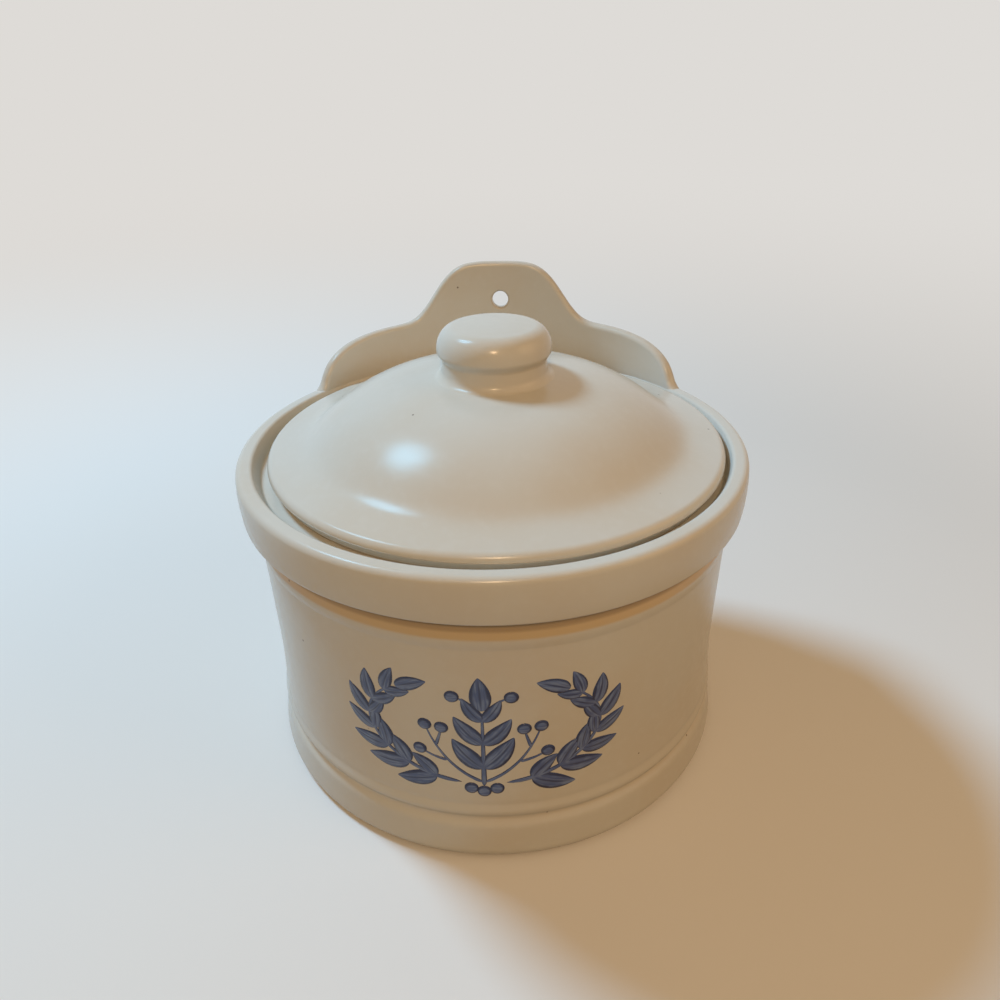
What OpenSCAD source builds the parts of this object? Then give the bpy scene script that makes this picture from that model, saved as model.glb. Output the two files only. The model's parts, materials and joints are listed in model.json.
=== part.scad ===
// Hanging salt box: a round stoneware crock with a curved wall plate, and a loose domed lid with a knob.
// Millimetres, +Z up. The origin is the middle of the foot, the plate is at the back (+Y).

/* [Crock] */
// Outside diameter of the rim
rim_d = 148; // [140:1:160]
// Height of the rim above the foot
rim_top = 95.5; // [90:0.5:110]
// Height of the thick band round the rim
band_h = 13; // [11:0.5:15]
// How far the middle of the band swells out
band_swell = 0.4; // [0:0.1:1]
// Height of the undercut between the band and the crest of the bead below it
undercut_h = 7; // [5:0.2:8]
// Depth of the undercut behind the lower edge of the band
undercut = 5; // [3.4:0.1:5.4]
// How far the bead stands out from the wall
bead = 0.6; // [0.2:0.1:1]
// How far the wall stands in from the rim at its waist
waist_inset = 3.4; // [2.6:0.1:4]
// Height of the waist above the foot
waist_z = 42; // [34:1:50]
// How far the wall flares out from the waist to the foot
foot_flare = 3.7; // [2:0.1:5]
// Height of the soft groove above the foot
groove_z = 14; // [12:0.5:18]
// Depth of the soft groove
groove_depth = 1; // [0.4:0.1:1.6]
// Height of the low ridge above the groove
ridge = 0.3; // [0:0.1:0.6]
// Thickness of the wall
wall = 5; // [4:0.1:6]
// Thickness of the floor
floor_t = 5.5; // [4:0.5:8]
// Depth of the hollow under the floor
foot_hollow = 3; // [1.5:0.5:4]

/* [Lid seat] */
// Thickness of the rim at its top
rim_t = 4; // [3.6:0.1:4.4]
// Depth of the ledge below the rim
ledge_depth = 4.6; // [4:0.1:6]
// Width of the ledge
ledge_w = 5.5; // [5:0.1:6]

/* [Lid] */
// Play all round between the lid and the rim at the ledge
lid_play = 1.2; // [1:0.1:2]
// How far the loose lid lies to the right in its seat
lid_shift = 1.2; // [0:0.1:1.4]
// Height of the edge of the brim above the rim
brim_rise = 0.7; // [0:0.1:1.5]
// Rise of the brim towards the dome, for each millimetre inwards
brim_slope = 0.16; // [0.1:0.02:0.24]
// Width of the brim, up to the foot of the dome
brim_w = 9.8; // [9.2:0.2:14]
// Height of the dome above the rim
dome_h = 19.6; // [16:0.1:26]
// Shoulder of the dome: higher is flatter on top
dome_power = 3.4; // [2.4:0.1:5]
// Softness of the cove where the brim meets the dome
cove = 2.6; // [1:0.1:5]
// Thickness of the lid
lid_t = 5; // [4:0.1:5.6]

/* [Knob] */
// Diameter of the knob
knob_d = 32.9; // [31.5:0.1:36]
// Diameter of the neck below the cap
neck_d = 30; // [24:0.1:30.5]
// How far the neck flares out towards its foot
neck_flare = 0.8; // [0:0.1:1.5]
// Height of the knob above its seat on the lid
knob_h = 15; // [13:0.1:18]
// Radius of the fillet round the foot of the neck
knob_fillet = 2; // [1:0.1:2.2]

/* [Back plate] */
// Thickness of the plate
plate_t = 3.8; // [3:0.1:3.9]
// Height of the shoulders above the rim
shoulder_h = 15.8; // [10:0.1:24]
// Height of the round tab above the shoulders
tab_h = 20.1; // [16:0.1:28]
// Half of the angle that the plate spans
plate_angle = 56.6; // [48:0.2:64]
// Angle by which the outline is cut to the left of the hole
plate_turn = 0.6; // [0:0.1:1.5]
// Half of the angle that the tab spans
tab_angle = 20; // [16:0.5:24]
// Diameter of the hanging hole
hole_d = 6; // [4:0.1:8]
// Height of the hanging hole above the rim
hole_rise = 22.5; // [16:0.5:24]

/* [Hidden] */
$fn = 96;
glaze = "#cdc9be";
glaze_back = "#c6c0b2";
glaze_lid = "#d2d0c8";
arc_steps = 6;
curve_steps = 24;

rim_r = rim_d / 2;
band_z = rim_top - band_h;
band_edge_r = rim_r + 0.3;
band_edge_round = 0.8;
rim_round = 2;
lip_round = 1.2;
lip_r = rim_r - rim_t;
undercut_r = band_edge_r - undercut;
bead_z = band_z - undercut_h;
bead_h = 2.4;
undercut_power = 1.8;
wall_top = bead_z - bead_h;
waist_r = rim_r - waist_inset;
wall_top_flare = 0.2;
groove_w = 1.6;
ridge_rise = 3.2;
ridge_w = 1.3;
foot_round = 3;
foot_w = 10;
foot_in_round = foot_hollow * 0.6;
floor_z = foot_hollow + floor_t;
floor_round = 9;
inner_r = waist_r - wall;
inner_flare = 0.8;

ledge_z = rim_top - ledge_depth;
ledge_out_r = lip_r - 2;
ledge_in_r = ledge_out_r - ledge_w;
ledge_cove = 0.8;
ledge_round = 0.8;
ledge_t = 2.4;
ledge_under = 6;

lid_r = ledge_out_r - lid_play;
dome_r = lid_r - brim_w;
brim_round = 2.2;
brim_under_round = 2;
lid_foot_w = 5;
lid_hollow_r = dome_r + 2;
neck_foot_r = neck_d / 2 + neck_flare;
knob_seat_r = neck_foot_r + knob_fillet;
knob_seat_z = dome(knob_seat_r);
fillet_lip = 0.25;
neck_rise = fillet_lip + knob_fillet;
cap_low = knob_h * 0.32;
cap_rise = knob_h * 0.53;
cap_top_r = knob_d / 2 * 0.68;
cap_crown = 0.5;

plate_r = rim_r;
plate_arc = plate_r * plate_angle * PI / 180;
tab_arc = plate_r * tab_angle * PI / 180;
shoulder_power = 5.4;
tab_power = 4.5;
plate_lap = 2;
fan_reach = 10;
fan_end = 0.2;

// Points along an arc round c, from angle a0 to angle a1
function arc(c, r, a0, a1) =
    [for (i = [0:arc_steps]) let (a = a0 + (a1 - a0) * i / arc_steps) c + r * [cos(a), sin(a)]];

// A bell of height 1 round a middle
function bell(z, middle, width) = exp(-pow((z - middle) / width, 2));

// Radius of the outside of the wall at height z: a waist that flares both ways, a soft groove and a low ridge
function wall_r(z) =
    waist_r
    + (z < waist_z ? foot_flare * pow((waist_z - z) / waist_z, 2)
                   : wall_top_flare * pow((z - waist_z) / (wall_top - waist_z), 2))
    - groove_depth * bell(z, groove_z, groove_w)
    + ridge * bell(z, groove_z + ridge_rise, ridge_w);

// Radius of the rim band at height z, which swells in the middle
function band_r(z) =
    let (middle = (band_z + rim_top) / 2)
    band_edge_r + band_swell * (1 - pow((z - middle) / (band_h / 2), 2));

// Height of the top of the lid at radius r: the higher of brim and dome, with a soft cove between them
function dome(r) =
    let (brim = brim_rise + brim_slope * (lid_r - r),
         cap = dome_h * (1 - pow(r / dome_r, dome_power)))
    rim_top + (brim + cap + sqrt(pow(brim - cap, 2) + cove * cove)) / 2;

// Height of the plate above the rim at arc length s from its middle: shoulders and a round tab
function plate_rise(s) =
    shoulder_h * sqrt(max(0, 1 - pow(abs(s) / plate_arc, shoulder_power)))
    + tab_h * exp(-pow(abs(s) / tab_arc, tab_power));

// Outline of the turned crock, from the middle of its underside out, up, over the rim and back down inside
module crock_section() {
    foot_r = wall_r(foot_round);
    band_bottom = band_z + band_edge_round;
    rim_turn = rim_top - rim_round;
    foot_in_r = foot_r - foot_round - foot_w;
    bead_foot_r = wall_r(wall_top);
    bead_r = bead_foot_r + bead;
    undercut_z = band_z - band_edge_round / 2;
    polygon(concat(
        [[0, foot_hollow], [foot_in_r - foot_in_round, foot_hollow]],
        arc([foot_in_r, foot_in_round], foot_in_round, 180, 270),
        arc([foot_r - foot_round, foot_round], foot_round, -90, 0),
        [for (i = [1:3 * curve_steps]) let (z = foot_round + (wall_top - foot_round) * i / (3 * curve_steps))
            [wall_r(z), z]],
        [for (i = [1:arc_steps]) let (t = i / arc_steps)
            [bead_foot_r + bead * sin(90 * t), wall_top + bead_h * t]],
        [for (i = [1:arc_steps]) let (t = i / arc_steps)
            [bead_r + (undercut_r - bead_r) * pow(t, undercut_power), bead_z + (undercut_z - bead_z) * t]],
        [[undercut_r + band_edge_round / 2, band_z]],
        arc([band_edge_r - band_edge_round, band_bottom], band_edge_round, -90, 0),
        [for (i = [1:arc_steps]) let (z = band_bottom + (rim_turn - band_bottom) * i / arc_steps) [band_r(z), z]],
        arc([band_r(rim_turn) - rim_round, rim_turn], rim_round, 10, 90),
        arc([lip_r + lip_round, rim_top - lip_round], lip_round, 90, 180),
        arc([ledge_out_r - ledge_cove, ledge_z + ledge_cove], ledge_cove, 20, -90),
        arc([ledge_in_r + ledge_round, ledge_z - ledge_round], ledge_round, 90, 180),
        [[ledge_in_r, ledge_z - ledge_t], [inner_r, ledge_z - ledge_t - ledge_under]],
        arc([inner_r + inner_flare - floor_round, floor_z + floor_round], floor_round, 0, -90),
        [[0, floor_z]]
    ));
}

// The turned pot: floor, foot ring, wall, rim band and the ledge that carries the lid
module crock() {
    color(glaze) rotate_extrude() crock_section();
}

// A fan of radial slices with the plate's outline as its top, wide enough to cut a ring of the plate's radius
module plate_fan() {
    columns = 3 * curve_steps;
    points = [for (i = [0:columns])
        let (a = plate_angle * (2 * i / columns - 1),
             out = [sin(a - plate_turn), cos(a - plate_turn)],
             low = rim_top - plate_lap,
             high = rim_top + max(fan_end, plate_rise(plate_r * a * PI / 180)))
        each [for (r = [plate_r - fan_reach, plate_r + fan_reach], z = [low, high]) [r * out.x, r * out.y, z]]];
    strips = [for (i = [0:columns - 1], side = [[0, 2], [1, 0], [3, 1], [2, 3]])
        let (a = 4 * i + side[0], b = 4 * i + side[1])
        each [[a, a + 4, b], [b, a + 4, b + 4]]];
    last = 4 * columns;
    ends = [[0, 2, 1], [1, 2, 3], [last, last + 1, last + 2], [last + 1, last + 3, last + 2]];
    polyhedron(points, concat(strips, ends));
}

// The curved wall plate, luted on the rim, with its hanging hole
module back_plate() {
    ring_h = plate_lap + shoulder_h + tab_h + 1;
    color(glaze_back) difference() {
        intersection() {
            translate([0, 0, rim_top - plate_lap - 1]) difference() {
                cylinder(r = plate_r, h = ring_h + 2);
                translate([0, 0, -1]) cylinder(r = plate_r - plate_t, h = ring_h + 4);
            }
            plate_fan();
        }
        rotate_extrude() crock_section();
        translate([0, 0, rim_top + hole_rise]) rotate([-90, 0, 0]) cylinder(d = hole_d, h = plate_r + 1);
    }
}

// Outline of the lid, from the middle of its hollow underside out over the brim and up to the knob's seat
module lid_section() {
    brim_top_r = lid_r - brim_round;
    brim_top_z = dome(brim_top_r) - brim_round;
    hollow = [for (i = [0:curve_steps]) let (r = lid_hollow_r * i / curve_steps)
        [r, min(dome(r), knob_seat_z) - lid_t]];
    cap = [for (i = [0:curve_steps]) let (r = brim_top_r + (knob_seat_r - brim_top_r) * i / curve_steps)
        [r, dome(r)]];
    polygon(concat(
        hollow,
        [[lid_r - brim_under_round - lid_foot_w, ledge_z]],
        arc([lid_r - brim_under_round, ledge_z + brim_under_round], brim_under_round, -90, 0),
        arc([brim_top_r, brim_top_z], brim_round, 0, 75),
        cap,
        [[0, knob_seat_z]]
    ));
}

// The hollow domed lid, which drops into the rim and rests on the ledge
module lid() {
    color(glaze_lid) translate([lid_shift, 0, 0]) rotate_extrude() lid_section();
}

// Outline of the knob: fillet, flared neck, cap with a defined lower edge, and crowned top
module knob_section() {
    seat = knob_seat_z;
    neck = neck_d / 2;
    cap_r = knob_d / 2;
    swell = [for (i = [0:arc_steps]) let (t = i / arc_steps)
        [neck + (cap_r - neck) * (1 - cos(180 * t)) / 2, seat + cap_low + (cap_rise - cap_low) * t]];
    shoulder = [for (i = [1:2 * arc_steps]) let (a = 90 * i / (2 * arc_steps))
        [cap_top_r + (cap_r - cap_top_r) * cos(a), seat + cap_rise + (knob_h - cap_crown - cap_rise) * sin(a)]];
    polygon(concat(
        [[0, seat], [knob_seat_r, seat]],
        arc([knob_seat_r, seat + neck_rise], knob_fillet, 270, 180),
        swell,
        shoulder,
        [[cap_top_r / 2, seat + knob_h - cap_crown / 4], [0, seat + knob_h]]
    ));
}

// The solid knob, luted on the crown of the lid
module lid_knob() {
    color(glaze_lid) translate([lid_shift, 0, 0]) rotate_extrude() knob_section();
}

crock();
back_plate();
lid();
lid_knob();
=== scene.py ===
"""Looks of a hanging salt box: turned crock, curved wall plate, loose domed lid and painted leaf spray.

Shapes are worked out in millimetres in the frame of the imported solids, with +Z up, the wall plate towards +Y
and the front towards -Y, and go into their meshes in metres.
"""

import json
import logging
import math
from collections.abc import Mapping, Sequence
from dataclasses import dataclass, field
from enum import Enum
from typing import Any

import bmesh
import bpy
import numpy as np
from mathutils import Matrix, Vector


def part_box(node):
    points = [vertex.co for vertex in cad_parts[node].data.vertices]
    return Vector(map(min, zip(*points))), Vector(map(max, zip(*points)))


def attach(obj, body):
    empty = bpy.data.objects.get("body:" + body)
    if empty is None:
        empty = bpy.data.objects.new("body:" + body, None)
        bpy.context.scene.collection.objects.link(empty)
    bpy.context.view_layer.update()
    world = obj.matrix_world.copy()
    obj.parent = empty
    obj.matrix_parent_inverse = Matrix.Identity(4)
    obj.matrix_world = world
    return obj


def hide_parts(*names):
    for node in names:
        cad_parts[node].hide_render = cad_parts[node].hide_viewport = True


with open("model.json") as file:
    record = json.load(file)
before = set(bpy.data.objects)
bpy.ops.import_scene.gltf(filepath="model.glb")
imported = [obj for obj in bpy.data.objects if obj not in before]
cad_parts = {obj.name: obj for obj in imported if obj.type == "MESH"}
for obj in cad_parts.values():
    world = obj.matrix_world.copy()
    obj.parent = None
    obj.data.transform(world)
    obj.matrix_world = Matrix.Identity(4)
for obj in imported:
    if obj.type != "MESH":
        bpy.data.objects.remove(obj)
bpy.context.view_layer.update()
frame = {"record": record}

Array = np.ndarray
Colour = tuple[int, int, int]
Range = tuple[float, float]
Material = bpy.types.Material
Socket = bpy.types.NodeSocket

LOG = logging.getLogger("salt_box")
MM = 0.001
FULL_TURN = 2 * math.pi

# Mesh steps, in mm or in points.
WELD_GAP = 0.002
OUTLINE_STEP = 2.4
ARC_STEPS = 12
TURN_STEPS = 200

# How turned walls wander from round: the phase of their oval, and the share and twist of their three lobes.
OVAL_PHASE = 0.7
LOBE_SHARE = 0.4
LOBE_TWIST = 30.0

# How the glaze lies: over how many mm a bend counts, the bends in radians per mm at which it thins or pools,
# and how much a hollow holds.
GLAZE_BLUR = 0.8
THIN_BEND = (0.35, 1.1)
POOL_BEND = (0.05, 0.5)
HOLLOW_POOL = 0.12

# The curve from sRGB steps to linear light.
COLOUR_STEPS = 255
SRGB_KNEE = 0.04045
SRGB_SLOPE = 12.92
SRGB_OFFSET = 0.055
SRGB_POWER = 2.4


class Body(Enum):
    """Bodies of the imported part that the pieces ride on."""

    CROCK = "crock"
    LID = "lid"


class Slot(Enum):
    """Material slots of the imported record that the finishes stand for."""

    GLAZE = "cream_glaze"
    COBALT = "cobalt_paint"


def node_box(node: str) -> tuple[Array, Array]:
    """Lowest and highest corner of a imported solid, in mm."""
    low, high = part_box(node)
    return np.array(low) / MM, np.array(high) / MM


def mount(name: str) -> dict[str, Any]:
    """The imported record's mount of that name."""
    return next(entry for entry in frame["record"]["mounts"] if entry["name"] == name)


def unit(vectors: Array) -> Array:
    """Vectors scaled to length 1 along their last axis."""
    return vectors / np.linalg.norm(vectors, axis=-1, keepdims=True)


def left_of(vectors: Array) -> Array:
    """Plane vectors turned a quarter turn to the left."""
    return np.stack([-vectors[..., 1], vectors[..., 0]], axis=-1)


def smooth_step(value: Array, low: float, high: float) -> Array:
    """Ease from 0 at low to 1 at high: 3 t^2 - 2 t^3 with t the clipped share of the way."""
    share = np.clip((value - low) / (high - low), 0, 1)
    return share * share * (3 - 2 * share)


def sharp(radius: Array, height: Array) -> Array:
    """Points of a curve as corners that aren't rounded: rows of radius, height and 0."""
    return np.stack([radius, height, 0 * radius], axis=1)


def rounded(corners: Array) -> Array:
    """Replace each corner of an open outline by an arc that is tangent to both of its sides.

    For a turn by angle a and a radius R, the arc starts R tan(a / 2) before the corner and runs through
    start + R (sin b d + (1 - cos b) n) for b from 0 to a, with d the direction in and n the side it turns to.

    Args:
        corners: Rows of radius, height and rounding radius, in mm. The two ends stay sharp.

    Returns:
        Rows of radius and height without repeats.
    """
    points, radii = corners[:, :2], corners[1:-1, 2:]
    into = unit(points[1:-1] - points[:-2])
    out = unit(points[2:] - points[1:-1])
    turn = np.arctan2(np.sum(left_of(into) * out, axis=1), np.sum(into * out, axis=1))[:, None]
    side = np.sign(turn) * left_of(into)
    start = points[1:-1] - radii * np.tan(np.abs(turn) / 2) * into
    swept = (np.abs(turn) * np.linspace(0, 1, ARC_STEPS))[..., None]
    bulge = np.sin(swept) * into[:, None] + (1 - np.cos(swept)) * side[:, None]
    arcs = start[:, None] + radii[:, None] * bulge
    line = np.concatenate([points[:1], arcs.reshape(-1, 2), points[-1:]])
    apart = np.linalg.norm(np.diff(line, axis=0), axis=1) > WELD_GAP
    return line[np.concatenate([[True], apart])]


def stepped(line: Array, step: float) -> Array:
    """Add points along the straight stretches of an outline, so that no two are further apart than a step.

    Args:
        line: Rows of radius and height, in mm.
        step: Longest distance between neighbours, in mm.

    Returns:
        The same outline with more rows.
    """
    lengths = np.linalg.norm(np.diff(line, axis=0), axis=1)
    counts = np.maximum(1, np.ceil(lengths / step)).astype(int)
    index = np.repeat(np.arange(len(counts)), counts)
    share = (np.arange(len(index)) - np.repeat(np.cumsum(counts) - counts, counts)) / counts[index]
    inner = line[index] + share[:, None] * (line[index + 1] - line[index])
    return np.concatenate([inner, line[-1:]])


def section(stretches: Sequence[Any]) -> Array:
    """Rounded and stepped outline through stretches of corners, each a row of radius, height and rounding."""
    return stepped(rounded(np.concatenate(stretches)), OUTLINE_STEP)


def bend(line: Array, blur: float) -> Array:
    """Signed bend of an outline at its points, positive on outer edges and negative in hollows.

    The turn at each point is spread along the outline by a bell curve, so the result is radians per mm.

    Args:
        line: Rows of radius and height, in mm, with the material on their left.
        blur: Width of the bell curve, in mm.

    Returns:
        One value for each row.
    """
    along = np.concatenate([[0], np.cumsum(np.linalg.norm(np.diff(line, axis=0), axis=1))])
    heading = np.unwrap(np.arctan2(*np.diff(line, axis=0).T[::-1]))
    turn = np.concatenate([[0], np.diff(heading), [0]])
    bell = np.exp(-0.5 * ((along[:, None] - along) / blur) ** 2) / (blur * math.sqrt(FULL_TURN))
    return bell @ turn


@dataclass
class Surface:
    """Patches of one mesh: points in mm, four-sided faces, and named values kept at the points."""

    points: Array
    faces: Array
    values: dict[str, Array]

    @classmethod
    def from_grid(
        cls, points: Array, values: Mapping[str, Array] | None = None, flip: bool = False
    ) -> "Surface":
        """Join the neighbouring points of grids into faces.

        A face's normal is (step to the next column) x (step to the next row), or the opposite when flipped.

        Args:
            points: Points in mm, shaped (..., rows, columns, 3), where leading axes count separate grids.
            values: Values at the points, each of a shape that spreads to (..., rows, columns).
            flip: Whether the faces are turned over.

        Returns:
            The patches, with touching edges not yet welded.
        """
        grid = points.shape[:-1]
        index = np.arange(points.size // 3).reshape(-1, *grid[-2:])
        corners = [index[:, :-1, :-1], index[:, :-1, 1:], index[:, 1:, 1:], index[:, 1:, :-1]]
        faces = np.stack(corners[::-1] if flip else corners, axis=-1).reshape(-1, 4)
        spread = {name: np.broadcast_to(value, grid).ravel() for name, value in (values or {}).items()}
        return cls(points.reshape(-1, 3), faces, spread)

    @classmethod
    def joined(cls, parts: Sequence["Surface"]) -> "Surface":
        """Put patches together as one surface, with 0 where a patch lacks a value.

        Args:
            parts: The patches.

        Returns:
            All of their points, faces and values.
        """
        starts = np.cumsum([0] + [len(part.points) for part in parts[:-1]])
        names = sorted({name for part in parts for name in part.values})
        return cls(
            np.concatenate([part.points for part in parts]),
            np.concatenate([part.faces + start for part, start in zip(parts, starts)]),
            {
                name: np.concatenate([part.values.get(name, np.zeros(len(part.points))) for part in parts])
                for name in names
            },
        )

    def to_object(self, name: str, material: Material) -> bpy.types.Object:
        """Make a smooth mesh object in metres, with touching edges welded and poles closed.

        Args:
            name: Name of the object and its mesh.
            material: Its finish.

        Returns:
            The object, linked to the scene.
        """
        mesh = bpy.data.meshes.new(name)
        mesh.vertices.add(len(self.points))
        mesh.vertices.foreach_set("co", (self.points * MM).ravel())
        mesh.loops.add(self.faces.size)
        mesh.loops.foreach_set("vertex_index", self.faces.ravel())
        mesh.polygons.add(len(self.faces))
        mesh.polygons.foreach_set("loop_start", np.arange(0, self.faces.size, 4))
        mesh.update(calc_edges=True)
        for key, value in self.values.items():
            layer = mesh.attributes.new(key, "FLOAT", "POINT")
            layer.data.foreach_set("value", value.astype(np.float32))
        shell = bmesh.new()
        shell.from_mesh(mesh)
        bmesh.ops.remove_doubles(shell, verts=shell.verts, dist=WELD_GAP * MM)
        state = "closed" if all(edge.is_contiguous for edge in shell.edges) else "open"
        volume = shell.calc_volume(signed=True) / MM**3
        shell.to_mesh(mesh)
        shell.free()
        mesh.shade_smooth()
        mesh.materials.append(material)
        piece = bpy.data.objects.new(name, mesh)
        bpy.context.scene.collection.objects.link(piece)
        LOG.info("%s: %d faces, %s, %.1f mm3", name, len(mesh.polygons), state, volume)
        return piece


def wander(angle: Array, height: Array) -> Array:
    """How a turned wall strays from round: cos(2 a + phase) + share cos(3 a - z / twist), with a from +X."""
    return np.cos(2 * angle + OVAL_PHASE) + LOBE_SHARE * np.cos(3 * angle - height / LOBE_TWIST)


def turned(line: Array, axis: Array, uneven: float = 0.0, flip: bool = False, **values: Array) -> Surface:
    """Turn an outline about an upright axis, a little out of round.

    A point at radius r, height z and angle a is axis + (r + w) (cos a, sin a) at height z, where w is the
    wall's wander times uneven times r over the widest r.

    Args:
        line: Rows of radius and height, in mm, from the underside's middle out, up and back in.
        axis: Place of the axis in plan, in mm.
        uneven: How far the wall wanders from round, in mm.
        flip: Whether the faces are turned over.
        **values: Values along the outline, which every turn of it repeats.

    Returns:
        The surface, whose seam and poles close when it is welded.
    """
    angle = np.linspace(0, FULL_TURN, TURN_STEPS + 1)
    radius, height = line[:, :1], line[:, 1:]
    reach = radius * (1 + uneven / radius.max() * wander(angle, height))
    z = np.broadcast_to(height, reach.shape)
    points = np.stack([axis[0] + reach * np.cos(angle), axis[1] + reach * np.sin(angle), z], axis=-1)
    return Surface.from_grid(points, {name: value[:, None] for name, value in values.items()}, flip)


def glaze_values(line: Array, bare: Array) -> dict[str, Array]:
    """How the glaze lies along an outline: thin over edges, pooled in hollows, and left off where it is bare.

    Args:
        line: Rows of radius and height, in mm.
        bare: Share of bare clay at each row.

    Returns:
        The shares named thin, pool and bare.
    """
    turn = bend(line, GLAZE_BLUR)
    # Glaze pooled in hollows; on the pot this share later also holds painted light and shade.
    pool = HOLLOW_POOL * smooth_step(-turn, *POOL_BEND)
    return {"thin": smooth_step(turn, *THIN_BEND), "pool": pool, "bare": bare}


def settle(piece: bpy.types.Object, body: Body, slot: Slot, *nodes: str) -> bpy.types.Object:
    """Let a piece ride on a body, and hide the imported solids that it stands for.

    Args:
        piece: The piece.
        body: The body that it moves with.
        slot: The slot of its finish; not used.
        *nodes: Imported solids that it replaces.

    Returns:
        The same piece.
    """
    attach(piece, body.value)
    if nodes:
        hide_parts(*nodes)
    return piece


def linear(colour: Colour) -> tuple[float, ...]:
    """Bring a colour to linear light.

    Below the knee it is step / slope, and above it ((step + offset) / (1 + offset))^power.

    Args:
        colour: Red, green and blue in sRGB steps.

    Returns:
        Red, green, blue and an alpha of 1, as a socket takes them.
    """
    step = np.array(colour) / COLOUR_STEPS
    curve = ((step + SRGB_OFFSET) / (1 + SRGB_OFFSET)) ** SRGB_POWER
    return (*np.where(step <= SRGB_KNEE, step / SRGB_SLOPE, curve).tolist(), 1.0)


@dataclass(frozen=True)
class Ease:
    """A soft change of a value: from start, where the value is at low, to end, where it is at high."""

    low: float
    high: float
    start: float = 0.0
    end: float = 1.0


class Shader:
    """A node material in the making, round one Principled shader, with pattern sizes in mm."""

    def __init__(self, name: str) -> None:
        """Start a material with its Object coordinates at hand.

        Args:
            name: Name of the material.
        """
        self.material = bpy.data.materials.new(name)
        self.material.use_nodes = True
        self.tree = self.material.node_tree
        self.principled = self.tree.nodes["Principled BSDF"]
        self.place = self.node("ShaderNodeTexCoord", {}).outputs["Object"]

    def feed(self, node: bpy.types.Node, inputs: Mapping[str | int, Any]) -> None:
        """Link sockets to a node's inputs, and set colours and plain values on them.

        Args:
            node: The node.
            inputs: Sockets, colours in sRGB steps or values, by the name or number of the input.
        """
        for key, value in inputs.items():
            if isinstance(value, Socket):
                self.tree.links.new(value, node.inputs[key])
            else:
                node.inputs[key].default_value = linear(value) if isinstance(value, tuple) else value

    def node(self, kind: str, inputs: Mapping[str | int, Any], **settings: Any) -> bpy.types.Node:
        """Add a node.

        Args:
            kind: Blender's name of the node type.
            inputs: Sockets, colours in sRGB steps or values, by the name or number of the input.
            **settings: The node's own settings.

        Returns:
            The node.
        """
        made = self.tree.nodes.new(kind)
        for name, value in settings.items():
            setattr(made, name, value)
        self.feed(made, inputs)
        return made

    def point_value(self, name: str) -> Socket:
        """A value that the mesh keeps at its points."""
        return self.node("ShaderNodeAttribute", {}, attribute_name=name).outputs["Fac"]

    def clouds(self, place: Socket, scale: float, detail: float) -> Socket:
        """Noise around 0.5, with clouds of about 1 / scale."""
        return self.node("ShaderNodeTexNoise", {"Vector": place, "Scale": scale, "Detail": detail}).outputs[0]

    def noise(self, size: float, detail: float = 2.0) -> Socket:
        """Noise on the object's own coordinates, with clouds of about a size in mm."""
        return self.clouds(self.place, 1 / (size * MM), detail)

    def streaks(self, length: float, width: float) -> Socket:
        """Noise drawn out into brush marks, along the strokes that a mesh keeps at its points.

        Args:
            length: Length of a mark, in mm.
            width: Width of a mark, in mm.

        Returns:
            The socket of the noise.
        """
        along = self.math("DIVIDE", self.point_value("along"), length)
        across = self.math("DIVIDE", self.point_value("across"), width)
        place = self.node("ShaderNodeCombineXYZ", {0: along, 1: across, 2: self.point_value("stroke")})
        return self.clouds(place.outputs[0], scale=1.0, detail=2.0)

    def ease(self, value: Socket, change: Ease) -> Socket:
        """Carry a value through a soft change.

        Args:
            value: The value.
            change: Where the change starts and ends, and what it gives there.

        Returns:
            The socket of the result.
        """
        limits = {"From Min": change.low, "From Max": change.high}
        results = {"To Min": change.start, "To Max": change.end}
        inputs = {"Value": value, **limits, **results}
        return self.node("ShaderNodeMapRange", inputs, interpolation_type="SMOOTHSTEP").outputs[0]

    def math(self, operation: str, first: Socket | float, second: Socket | float) -> Socket:
        """Two values joined by one of Blender's math operations."""
        return self.node("ShaderNodeMath", {0: first, 1: second}, operation=operation).outputs[0]

    def mix(self, share: Socket, first: Socket | Colour, second: Socket | Colour) -> Socket:
        """Go from a first to a second colour by a share (a Mix node's inputs 6 and 7, and output 2)."""
        return self.node("ShaderNodeMix", {0: share, 6: first, 7: second}, data_type="RGBA").outputs[2]

    def bump(self, height: Socket, strength: float, depth: float) -> Socket:
        """Normals of a relief of a depth in mm."""
        inputs = {"Strength": strength, "Distance": depth * MM, "Height": height}
        return self.node("ShaderNodeBump", inputs).outputs[0]


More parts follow.
